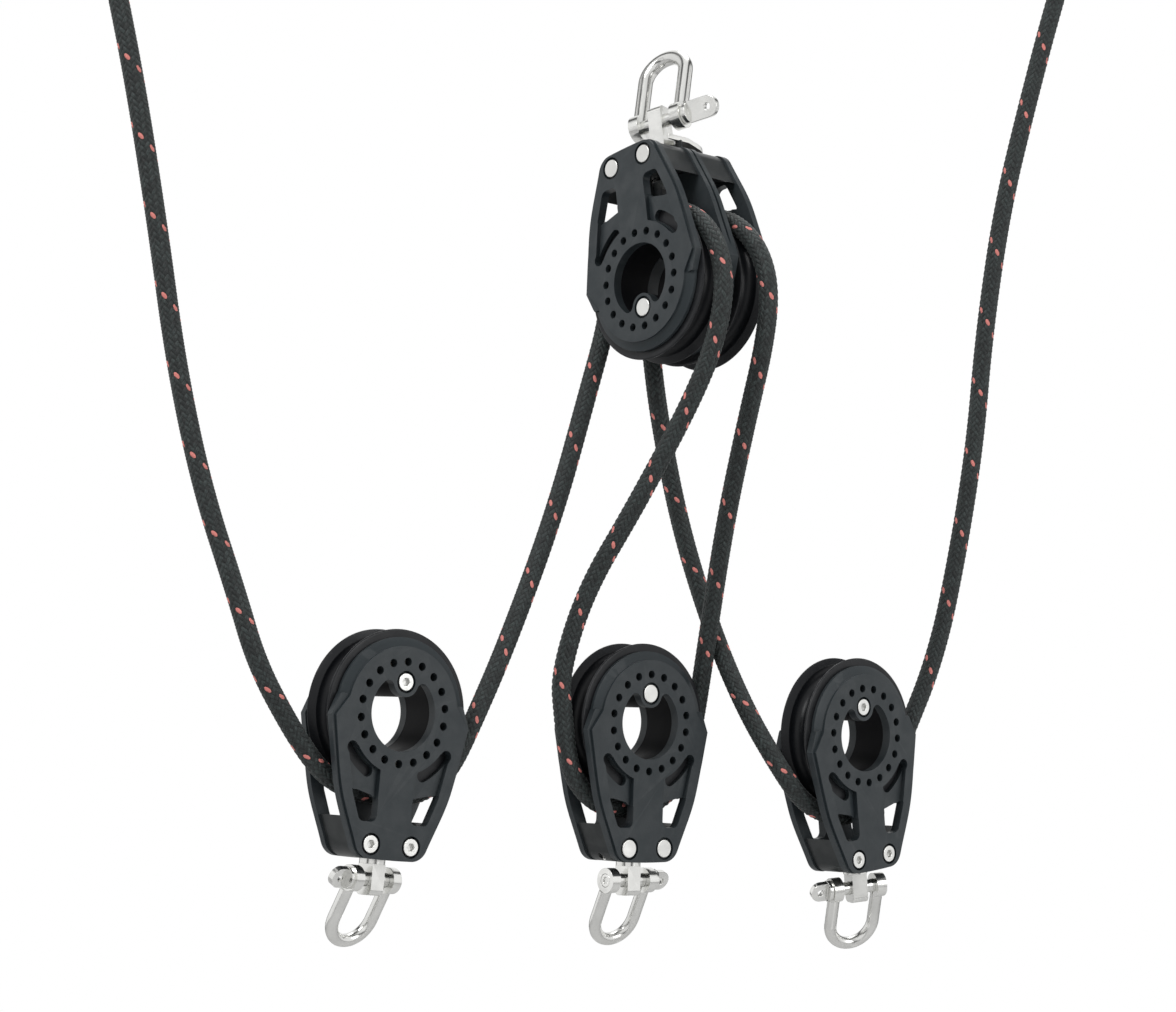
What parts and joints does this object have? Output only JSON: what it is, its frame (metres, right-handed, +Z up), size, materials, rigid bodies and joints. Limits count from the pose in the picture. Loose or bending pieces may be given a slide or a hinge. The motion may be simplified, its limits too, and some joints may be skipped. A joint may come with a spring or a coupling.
{
  "type": "block and tackle",
  "caption": "Block and tackle: a double ball bearing block with a swivel shackle above, single swivel blocks hanging in the bights of one braided rope.",
  "frame": {"origin": "the seat inside the top shackle's bow, where the tackle hangs", "axes": "+Z up, +X to the right of the picture, +Y away from the camera"},
  "size_m": [0.4503, 0.191, 0.5178],
  "materials": {
    "cheek": "satin moulded",
    "centre_plate": "satin moulded",
    "head_block": "satin moulded",
    "hub": "satin moulded",
    "sheave": "satin moulded",
    "balls": "polished",
    "fastener": "bright",
    "strap": "bright",
    "post": "polished",
    "shackle": "polished",
    "rope": "braided"
  },
  "bodies": {
    "hanger": {"top_shackle": "shackle", "top_shackle_pin": "shackle"},
    "upper_post": {"upper_head_post": "post"},
    "upper_block": {"upper_front_cheek": "cheek", "upper_rear_cheek": "cheek", "upper_centre_plate": "centre_plate", "upper_front_head_block": "head_block", "upper_rear_head_block": "head_block", "upper_front_hub": "hub", "upper_rear_hub": "hub", "upper_screws": "fastener", "upper_barrel_nuts": "fastener", "upper_head_strap": "strap", "rope": "rope", "rope_end_left": "rope", "rope_end_right": "rope"},
    "upper_front_sheave": {"upper_front_sheave": "sheave"},
    "upper_front_balls": {"upper_front_balls": "balls"},
    "upper_rear_sheave": {"upper_rear_sheave": "sheave"},
    "upper_rear_balls": {"upper_rear_balls": "balls"},
    "left_block": {"left_front_cheek": "cheek", "left_rear_cheek": "cheek", "left_hub": "hub", "left_head_block": "head_block", "left_set_screw": "fastener", "left_screws": "fastener", "left_barrel_nuts": "fastener"},
    "left_sheave": {"left_sheave": "sheave"},
    "left_balls": {"left_balls": "balls"},
    "left_post": {"left_head_post": "post"},
    "left_shackle": {"left_shackle": "shackle", "left_shackle_pin": "shackle"},
    "middle_block": {"middle_front_cheek": "cheek", "middle_rear_cheek": "cheek", "middle_hub": "hub", "middle_head_block": "head_block", "middle_set_screw": "fastener", "middle_screws": "fastener", "middle_barrel_nuts": "fastener"},
    "middle_sheave": {"middle_sheave": "sheave"},
    "middle_balls": {"middle_balls": "balls"},
    "middle_post": {"middle_head_post": "post"},
    "middle_shackle": {"middle_shackle": "shackle", "middle_shackle_pin": "shackle"},
    "right_block": {"right_front_cheek": "cheek", "right_rear_cheek": "cheek", "right_hub": "hub", "right_head_block": "head_block", "right_set_screw": "fastener", "right_screws": "fastener", "right_barrel_nuts": "fastener"},
    "right_sheave": {"right_sheave": "sheave"},
    "right_balls": {"right_balls": "balls"},
    "right_post": {"right_head_post": "post"},
    "right_shackle": {"right_shackle": "shackle", "right_shackle_pin": "shackle"}
  },
  "joints": [
    {"name": "top_pin_swing", "type": "hinge", "parent": "hanger", "child": "upper_post", "pos_m": [-0.0016, -0.01176, -0.02481], "axis": [0.8263, -0.5276, 0.197], "range_deg": [-90, 90]},
    {"name": "upper_swivel", "type": "hinge", "parent": "upper_post", "child": "upper_block", "pos_m": [0.00783, -0.02026, -0.08712], "axis": [-0.1483, 0.1335, 0.9799], "continuous": true},
    {"name": "upper_front_sheave_spin", "type": "hinge", "parent": "upper_block", "child": "upper_front_sheave", "pos_m": [0.00113, -0.0267, -0.08726], "axis": [0.7212, 0.6926, 0.0148], "continuous": true},
    {"name": "upper_front_balls_roll", "type": "hinge", "parent": "upper_block", "child": "upper_front_balls", "pos_m": [0.00113, -0.0267, -0.08726], "axis": [0.7212, 0.6926, 0.0148], "continuous": true},
    {"name": "upper_rear_sheave_spin", "type": "hinge", "parent": "upper_block", "child": "upper_rear_sheave", "pos_m": [0.01454, -0.01381, -0.08699], "axis": [0.7212, 0.6926, 0.0148], "continuous": true},
    {"name": "upper_rear_balls_roll", "type": "hinge", "parent": "upper_block", "child": "upper_rear_balls", "pos_m": [0.01454, -0.01381, -0.08699], "axis": [0.7212, 0.6926, 0.0148], "continuous": true},
    {"name": "left_block_swing", "type": "hinge", "parent": "upper_block", "child": "left_block", "pos_m": [-0.08549, -0.06359, -0.24715], "axis": [-0.6408, 0.7672, 0.0271], "range_deg": [-10, 10]},
    {"name": "left_sheave_spin", "type": "hinge", "parent": "left_block", "child": "left_sheave", "pos_m": [-0.08549, -0.06359, -0.24715], "axis": [-0.6408, 0.7672, 0.0271], "continuous": true},
    {"name": "left_balls_roll", "type": "hinge", "parent": "left_block", "child": "left_balls", "pos_m": [-0.08549, -0.06359, -0.24715], "axis": [-0.6408, 0.7672, 0.0271], "continuous": true},
    {"name": "left_swivel", "type": "hinge", "parent": "left_block", "child": "left_post", "pos_m": [-0.08773, -0.06345, -0.30391], "axis": [-0.0394, 0.0024, -0.9992], "continuous": true},
    {"name": "left_pin_swing", "type": "hinge", "parent": "left_post", "child": "left_shackle", "pos_m": [-0.08773, -0.06345, -0.30391], "axis": [-0.6504, -0.7592, 0.0239], "range_deg": [-63.5, 116.5]},
    {"name": "middle_block_swing", "type": "hinge", "parent": "upper_block", "child": "middle_block", "pos_m": [-0.0018, 0.00194, -0.24343], "axis": [-0.6567, 0.7537, 0.0254], "range_deg": [-10, 10]},
    {"name": "middle_sheave_spin", "type": "hinge", "parent": "middle_block", "child": "middle_sheave", "pos_m": [-0.0018, 0.00194, -0.24343], "axis": [-0.6567, 0.7537, 0.0254], "continuous": true},
    {"name": "middle_balls_roll", "type": "hinge", "parent": "middle_block", "child": "middle_balls", "pos_m": [-0.0018, 0.00194, -0.24343], "axis": [-0.6567, 0.7537, 0.0254], "continuous": true},
    {"name": "middle_swivel", "type": "hinge", "parent": "middle_block", "child": "middle_post", "pos_m": [-0.00074, 0.00477, -0.30015], "axis": [0.0186, 0.0499, -0.9986], "continuous": true},
    {"name": "middle_pin_swing", "type": "hinge", "parent": "middle_post", "child": "middle_shackle", "pos_m": [-0.00074, 0.00477, -0.30015], "axis": [0.7539, 0.6553, 0.0468], "range_deg": [-115.3, 64.7]},
    {"name": "right_block_swing", "type": "hinge", "parent": "upper_block", "child": "right_block", "pos_m": [0.07748, 0.03351, -0.24283], "axis": [-0.6914, 0.7221, 0.0214], "range_deg": [-10, 10]},
    {"name": "right_sheave_spin", "type": "hinge", "parent": "right_block", "child": "right_sheave", "pos_m": [0.07748, 0.03351, -0.24283], "axis": [-0.6914, 0.7221, 0.0214], "continuous": true},
    {"name": "right_balls_roll", "type": "hinge", "parent": "right_block", "child": "right_balls", "pos_m": [0.07748, 0.03351, -0.24283], "axis": [-0.6914, 0.7221, 0.0214], "continuous": true},
    {"name": "right_swivel", "type": "hinge", "parent": "right_block", "child": "right_post", "pos_m": [0.08409, 0.0415, -0.29867], "axis": [0.1164, 0.1406, -0.9832], "continuous": true},
    {"name": "right_pin_swing", "type": "hinge", "parent": "right_post", "child": "right_shackle", "pos_m": [0.08409, 0.0415, -0.29867], "axis": [-0.9188, -0.3607, -0.1604], "range_deg": [-65.9, 114.1]}
  ],
  "couplings": [
    {"joint": "upper_front_balls_roll", "follows": "upper_front_sheave_spin", "ratio": 0.5684},
    {"joint": "upper_rear_balls_roll", "follows": "upper_rear_sheave_spin", "ratio": 0.5684},
    {"joint": "left_balls_roll", "follows": "left_sheave_spin", "ratio": 0.5684},
    {"joint": "middle_balls_roll", "follows": "middle_sheave_spin", "ratio": 0.5684},
    {"joint": "right_balls_roll", "follows": "right_sheave_spin", "ratio": 0.5684}
  ]
}
